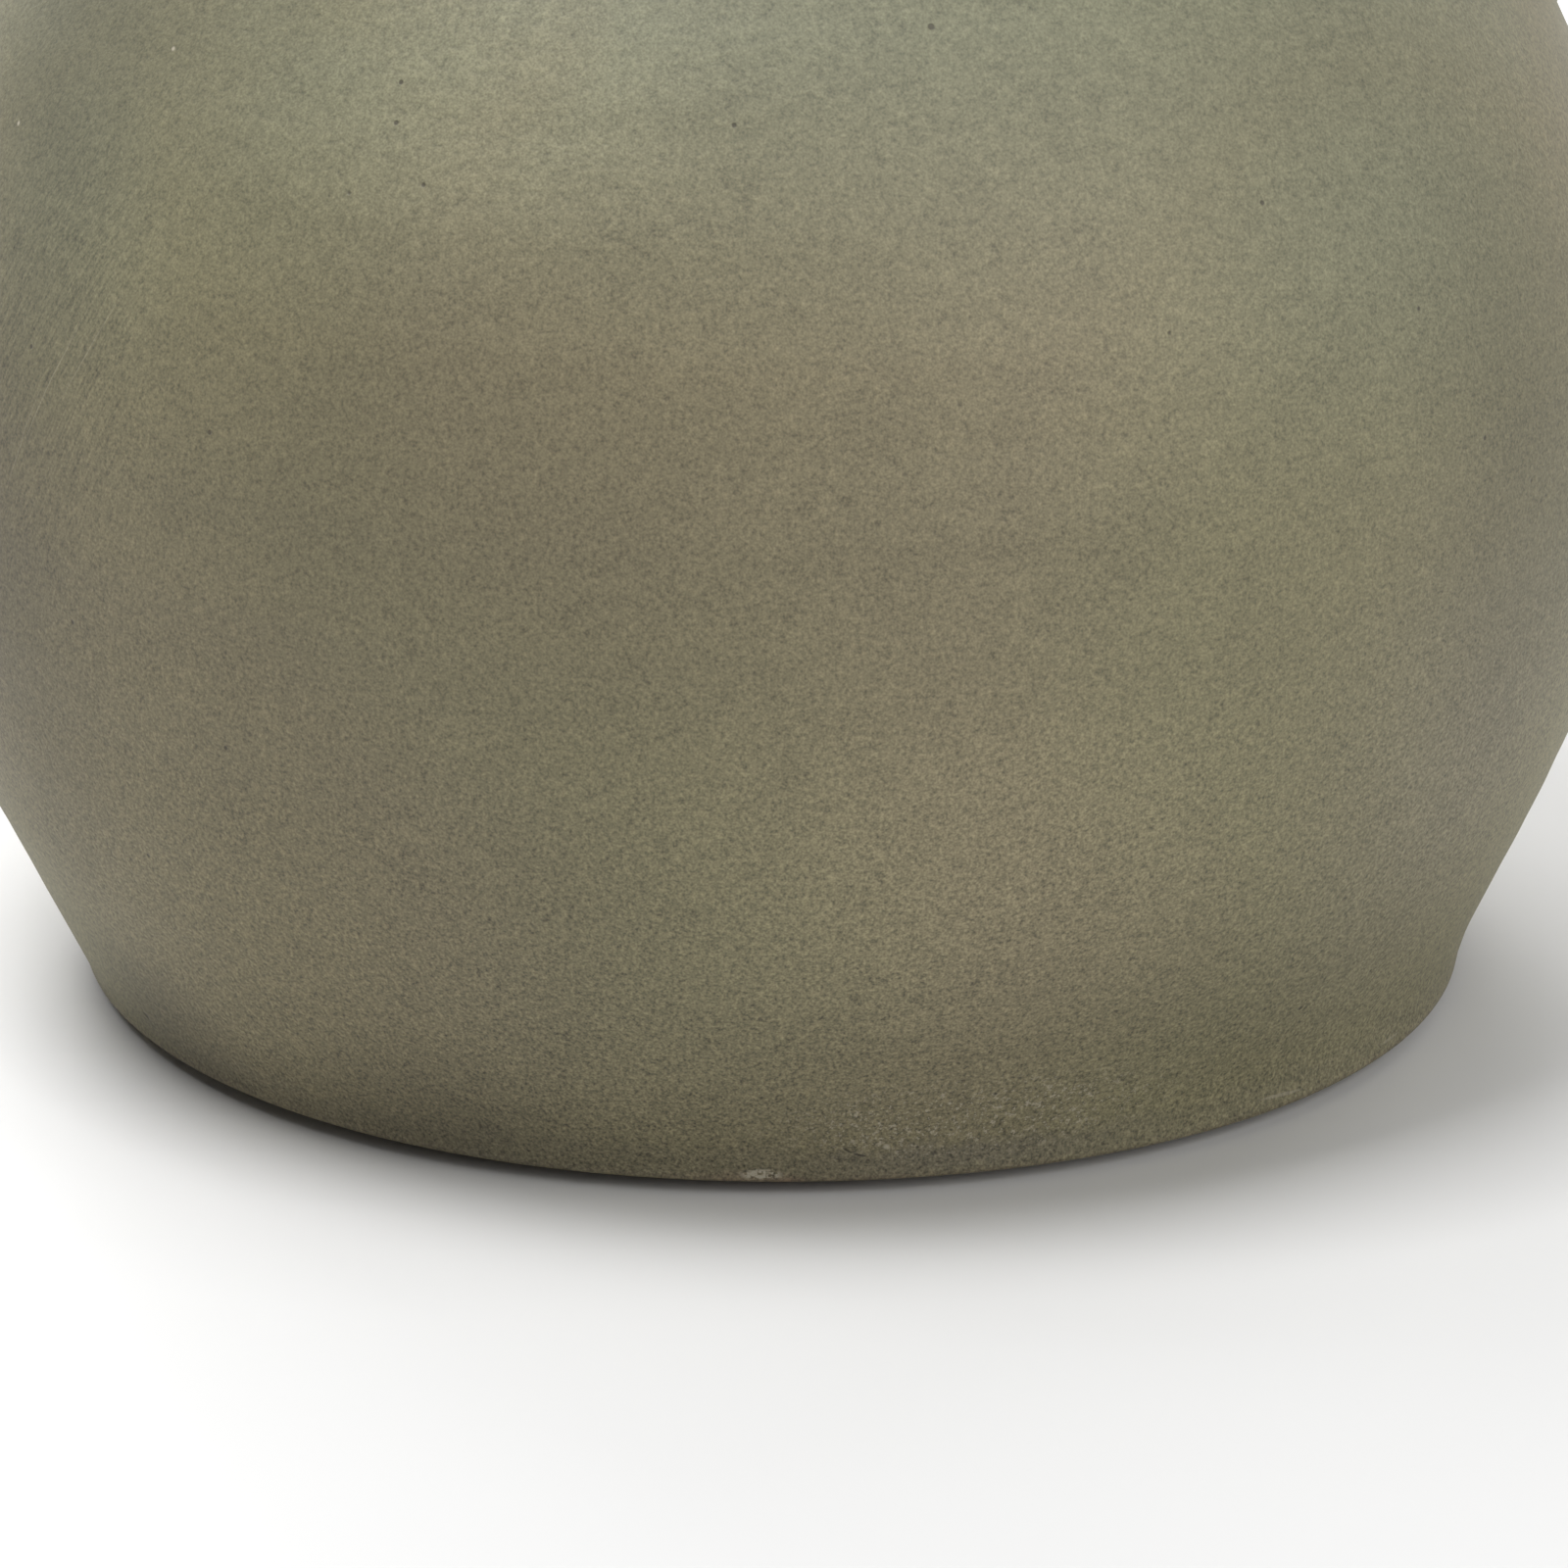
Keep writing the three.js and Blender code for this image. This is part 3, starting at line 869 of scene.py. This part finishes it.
def clouds(tree, where, size, detail=2.0, roughness=0.5, distortion=0.0):
    """Soft noise whose features measure about size millimetres."""
    inputs = {"Vector": where, "Scale": 1 / size, "Detail": detail, "Roughness": roughness}
    return add(tree, "ShaderNodeTexNoise", {**inputs, "Distortion": distortion}).outputs["Fac"]


def between(tree, value, low, high, out_low=0.0, out_high=1.0):
    """A value brought from one range into another, and held inside it."""
    inputs = {"Value": value, "From Min": low, "From Max": high, "To Min": out_low, "To Max": out_high}
    return add(tree, "ShaderNodeMapRange", inputs).outputs["Result"]


def blend(tree, share, first, second, mode="MIX"):
    """Two colours mixed: 6 and 7 are the node's colour inputs, and 2 is its colour output."""
    inputs = {"Factor": share, 6: first, 7: second}
    return add(tree, "ShaderNodeMix", inputs, data_type="RGBA", blend_type=mode).outputs[2]


def combined(tree, operation, first, second):
    return add(tree, "ShaderNodeMath", {0: first, 1: second}, operation=operation).outputs[0]


def sum_of(tree, first, second):
    return combined(tree, "ADD", first, second)


def product(tree, first, second):
    return combined(tree, "MULTIPLY", first, second)


def mapped(tree, where, kind="POINT", **inputs):
    return add(tree, "ShaderNodeMapping", {"Vector": where, **inputs}, vector_type=kind).outputs["Vector"]


def millimetres(tree):
    """The piece's own coordinates, in millimetres."""
    at = add(tree, "ShaderNodeTexCoord").outputs["Object"]
    return mapped(tree, at, Scale=(1 / MM, 1 / MM, 1 / MM))


def patch(tree, where, centre, reach, rotation=(0, 0, 0), core=0.0):
    """A soft ellipsoid: 1 inside its core, which is a share of its reach, and 0 past its reach."""
    local = mapped(tree, where, "TEXTURE", Location=centre, Rotation=rotation, Scale=reach)
    far = add(tree, "ShaderNodeVectorMath", {0: local}, operation="LENGTH").outputs["Value"]
    inputs = {"Value": far, "From Min": 1.0, "From Max": core}
    return add(tree, "ShaderNodeMapRange", inputs, interpolation_type="SMOOTHSTEP").outputs["Result"]


def dots(tree, where, places, core):
    """One small round patch for each place and its radius."""
    return [patch(tree, where, at, (size, size, size), core=core) for at, size in places]


def scratch(tree, where, start, end, width):
    """A fine line across the pot's outside, from start to end."""
    start, end = Vector(start), Vector(end)
    middle = (start + end) / 2
    run = (end - start).normalized()
    out = Vector((middle.x, middle.y, 0)).normalized()
    out = (out - run * out.dot(run)).normalized()
    turned = Matrix((run, out.cross(run), out)).transposed().to_euler()
    return patch(tree, where, middle, ((end - start).length / 2, width / 2, scratch_reach), turned, 0.5)


def most_of(tree, marks):
    """The strongest of several marks."""
    found = marks[0]
    for mark in marks[1:]:
        found = combined(tree, "MAXIMUM", found, mark)
    return found


def pinholes(tree, where):
    """Sparse small holes in the glaze, and the larger ones that show in it."""
    cells = add(tree, "ShaderNodeTexVoronoi", {"Vector": where, "Scale": 1 / pinhole_spacing})
    far = cells.outputs["Distance"]
    chance = add(tree, "ShaderNodeSeparateColor", {"Color": cells.outputs["Color"]}).outputs["Red"]
    small = product(tree, between(tree, far, *pinhole_edge), between(tree, chance, *pinhole_chance))
    return most_of(tree, [small] + dots(tree, where, open_pinholes, 0.5))


def streaks(tree, where):
    """Fine slanting streaks on the side that was brushed."""
    turned = Vector(brushed_along).normalized().to_track_quat("X", "Y").to_euler()
    local = mapped(tree, where, "TEXTURE", Rotation=turned, Scale=streak_shape)
    swing = between(tree, clouds(tree, local, 1.0, 1), 0.3, 0.7, -streak_swing, streak_swing)
    return product(tree, swing, patch(tree, where, *brushed, core=0.3))


def swing_of(tree, noise, most):
    """Noise brought to a swing of at most so much either way."""
    return between(tree, noise, 0.0, 1.0, -most, most)


def grain(tree, where, height):
    """How much lighter or darker than its colour the glaze is, with patches of painted shade and painted
    highlight among its own tone, and how high its grain rises.
    """
    fine = clouds(tree, where, fine_grain, 1, 1.0)
    coarse = clouds(tree, mapped(tree, where, Scale=(1, 1, coarse_flattening)), coarse_grain, 1, 1.0)
    mottle = clouds(tree, where, mottle_grain, 2)
    near_foot = between(tree, height, *fine_near_foot)
    on_shoulder = between(tree, height, *fine_on_shoulder)
    swing = product(tree, swing_of(tree, fine, fine_swing), product(tree, near_foot, on_shoulder))
    stronger = between(tree, height, *coarse_on_shoulder)
    swing = sum_of(tree, swing, product(tree, swing_of(tree, coarse, coarse_swing), stronger))
    swing = sum_of(tree, swing, swing_of(tree, mottle, mottle_swing))
    shade = sum_of(tree, sum_of(tree, swing, streaks(tree, where)), 1.0)
    # Patches of painted shade and painted highlight, mixed with some of the glaze's own tone
    for centre, reach, change in tone_and_painted_light_patches:
        soft = patch(tree, where, centre, reach)
        shade = product(tree, shade, sum_of(tree, product(tree, soft, change), 1.0))
    return shade, sum_of(tree, fine, coarse)


def glaze_colour(tree, where, height):
    """Olive brown, greener on the shoulder and at the sides, where the green is partly painted sheen, and
    yellower or greyer in places.
    """
    yellowish = between(tree, clouds(tree, where, yellow_cloud, 1, 0.5, yellow_bend), *yellow_range)
    cloud = between(tree, clouds(tree, where, green_cloud, 2), *green_range)
    green = [product(tree, between(tree, height, *green_heights), cloud)]
    for at, reach, share in sage_and_painted_sheen_sides:
        green.append(product(tree, patch(tree, where, at, reach), share))
    brown = blend(tree, yellowish, glaze_brown, glaze_olive)
    colour = blend(tree, most_of(tree, green), brown, sage_glaze_and_painted_sheen)
    for tint, at, reach, share in tinted_sides:
        colour = blend(tree, product(tree, patch(tree, where, at, reach), share), colour, tint)
    return colour


def glaze_at_foot(tree, where, height, colour):
    """A smoother strip, then a light edge, partly a painted highlight along the foot's bevel, that turns
    reddish where the glaze runs thin.
    """
    wander = clouds(tree, where, wander_size, 2)
    above_foot = sum_of(tree, height, between(tree, wander, 0.3, 0.7, -foot_wander, foot_wander))
    strip = product(tree, between(tree, above_foot, *strip_top), between(tree, above_foot, *strip_bottom))
    in_front = product(tree, patch(tree, where, *smooth_strip), strip_in_front)
    strip = product(tree, strip, sum_of(tree, in_front, strip_all_round))
    colour = blend(tree, strip, colour, wiped_glaze)
    foot_edge = between(tree, above_foot, *foot_edge_fade)
    # The lighter edge is partly a painted highlight on the foot's bevel
    colour = blend(tree, product(tree, foot_edge, foot_edge_share), colour, foot_edge_glaze_and_highlight)
    reddish = product(tree, foot_edge, patch(tree, where, *reddish_edge))
    return blend(tree, product(tree, reddish, reddish_share), colour, thin_glaze_colour)


def pale_marks(tree, where):
    """Single flecks and scratches, and the chip in the foot's edge."""
    chip = between(tree, clouds(tree, where, chip_size, 2, 0.7), *chip_range)
    marks = dots(tree, where, pale_specks, 0.4)
    for start, end, width, strength in pale_scratches:
        marks.append(product(tree, scratch(tree, where, start, end, width), strength))
    marks.append(product(tree, chip, patch(tree, where, *buff_chip, core=0.5)))
    return most_of(tree, marks)


def dark_marks(tree, where):
    """Pinholes and fine dark scratches."""
    scratches = [scratch(tree, where, *ends) for ends in dark_scratches]
    return most_of(tree, [pinholes(tree, where)] + scratches)


def with_relief(tree, surface, height, strength, depth):
    bump = add(tree, "ShaderNodeBump", {"Height": height, "Strength": strength, "Distance": depth})
    tree.links.new(bump.outputs["Normal"], surface.inputs["Normal"])


def olive_glaze():
    material, tree, surface = new_material("olive_glaze")
    where = millimetres(tree)
    height = add(tree, "ShaderNodeSeparateXYZ", {"Vector": where}).outputs["Z"]
    colour = glaze_at_foot(tree, where, height, glaze_colour(tree, where, height))
    shade, rise = grain(tree, where, height)
    shades = {"Red": shade, "Green": shade, "Blue": shade}
    grey = add(tree, "ShaderNodeCombineColor", shades).outputs["Color"]
    colour = blend(tree, 1.0, colour, grey, "MULTIPLY")

    thin = add(tree, "ShaderNodeAttribute", attribute_name="thin_glaze").outputs["Fac"]
    broken = product(tree, thin, between(tree, clouds(tree, where, break_size, 3, 0.6), *break_range))
    colour = blend(tree, broken, colour, thin_glaze_colour)

    band = patch(tree, where, *rough_band, core=0.4)
    flecks = product(tree, band, between(tree, clouds(tree, where, fleck_size, 2, 0.8), *fleck_range))
    colour = blend(tree, product(tree, flecks, fleck_share), colour, pale_fleck)
    colour = blend(tree, pale_marks(tree, where), colour, pale_fleck)
    dark = dark_marks(tree, where)
    colour = blend(tree, product(tree, dark, hole_share), colour, hole_brown)
    tree.links.new(colour, surface.inputs["Base Color"])
    surface.inputs["Roughness"].default_value = glaze_roughness
    relief = combined(tree, "SUBTRACT", rise, product(tree, dark, hole_depth))
    with_relief(tree, surface, relief, glaze_relief, glaze_relief_depth)
    return material


def bare_stoneware():
    material, tree, surface = new_material("bare_stoneware")
    grog = between(tree, clouds(tree, millimetres(tree), grog_size, 3, 0.6), *grog_range)
    tree.links.new(blend(tree, grog, clay_dark, clay_light), surface.inputs["Base Color"])
    surface.inputs["Roughness"].default_value = clay_roughness
    with_relief(tree, surface, grog, clay_relief, clay_relief_depth)
    return material


def sweep_paper():
    material, _, surface = new_material("sweep_paper")
    surface.inputs["Base Color"].default_value = sweep_white
    surface.inputs["Roughness"].default_value = sweep_roughness
    surface.inputs["Specular IOR Level"].default_value = sweep_gloss
    return material


# Studio

camera_distance = 600.0
camera_height = 231.4
camera_aim_height = 9.44
camera_aside = 0.86
camera_lens = 253.9
camera_sensor = 36.0
camera_clip = (0.05, 20.0)
sweep_half_width = 3.0

# Square lamps, all as far from the jug and turned to one point in it: the angle round from the camera's
# right, the angle up, the side in metres and the power in watts
lamp_distance = 1.2
lamp_aim_height = 0.04
lamps = [
    ("key", 214.0, 73.0, 0.5, 9.2),
    ("left", 180.0, 64.0, 0.55, 1.7),
    ("top right", 345.0, 80.0, 0.5, 2.0),
    ("behind left", 150.0, 50.0, 0.5, 2.2),
    ("behind", 108.0, 35.0, 0.8, 8.4),
    ("low behind", 96.0, 15.0, 0.5, 8.5),
    ("low behind right", 60.0, 20.0, 0.5, 2.6),
    ("front", 315.0, 30.0, 0.8, 7.0),
]
ambient_light = 0.06


def make_floor():
    bm = bmesh.new()
    bmesh.ops.create_grid(bm, x_segments=1, y_segments=1, size=sweep_half_width)
    mesh = bpy.data.meshes.new("sweep")
    bm.to_mesh(mesh)
    bm.free()
    mesh.materials.append(sweep_paper())
    floor = bpy.data.objects.new("sweep", mesh)
    bpy.context.scene.collection.objects.link(floor)


def make_camera():
    ahead = Vector((-math.sin(CAMERA_TURN), math.cos(CAMERA_TURN), 0))
    aside = CAMERA_RIGHT * camera_aside
    place = -ahead * camera_distance + aside + Vector((0, 0, camera_height))
    aim = aside + Vector((0, 0, camera_aim_height))
    data = bpy.data.cameras.new("camera")
    data.sensor_width = camera_sensor
    data.lens = camera_lens
    data.clip_start, data.clip_end = camera_clip
    camera = bpy.data.objects.new("camera", data)
    camera.location = place * MM
    camera.rotation_mode = "QUATERNION"
    camera.rotation_quaternion = (aim - place).to_track_quat("-Z", "Y")
    bpy.context.scene.collection.objects.link(camera)
    bpy.context.scene.camera = camera


def softbox(name, around, up, size, power):
    turn = math.radians(camera_azimuth + around)
    tilt = math.radians(up)
    data = bpy.data.lights.new(name, "AREA")
    data.shape = "SQUARE"
    data.size = size
    data.energy = power
    lamp = bpy.data.objects.new(name, data)
    level = math.cos(tilt)
    away = Vector((math.cos(turn) * level, math.sin(turn) * level, math.sin(tilt)))
    lamp.location = away * lamp_distance + Vector((0, 0, lamp_aim_height))
    lamp.rotation_mode = "QUATERNION"
    lamp.rotation_quaternion = away.to_track_quat("Z", "Y")
    bpy.context.scene.collection.objects.link(lamp)


def make_world():
    """White for the camera and for reflections, and dimmer where it lights the jug."""
    world = bpy.data.worlds.new("studio")
    world.use_nodes = True
    tree = world.node_tree
    background = tree.nodes["Background"]
    path = add(tree, "ShaderNodeLightPath").outputs
    rays = ("Is Camera Ray", "Is Glossy Ray", "Is Transmission Ray")
    seen = most_of(tree, [path[name] for name in rays])
    strength = add(tree, "ShaderNodeMix", {"Factor": seen, "A": ambient_light, "B": 1.0})
    background.inputs["Color"].default_value = (1, 1, 1, 1)
    tree.links.new(strength.outputs["Result"], background.inputs["Strength"])
    bpy.context.scene.world = world


def main():
    make_camera()
    glazed = [olive_glaze(), bare_stoneware()]
    make_pot(glazed)
    make_spout(glazed[:1])
    make_handle(glazed[:1])
    make_coil("spout_coil", "spout_joint_coil", spout_seam(), glazed[:1])
    make_coil("handle_top_coil", "handle_top_joint_coil", handle_seam(handle_top_past), glazed[:1])
    make_coil("handle_foot_coil", "handle_foot_joint_coil", handle_seam(handle_foot_past), glazed[:1])
    make_floor()
    make_world()
    for lamp in lamps:
        softbox(*lamp)
    bpy.context.scene.view_settings.view_transform = "Standard"


main()
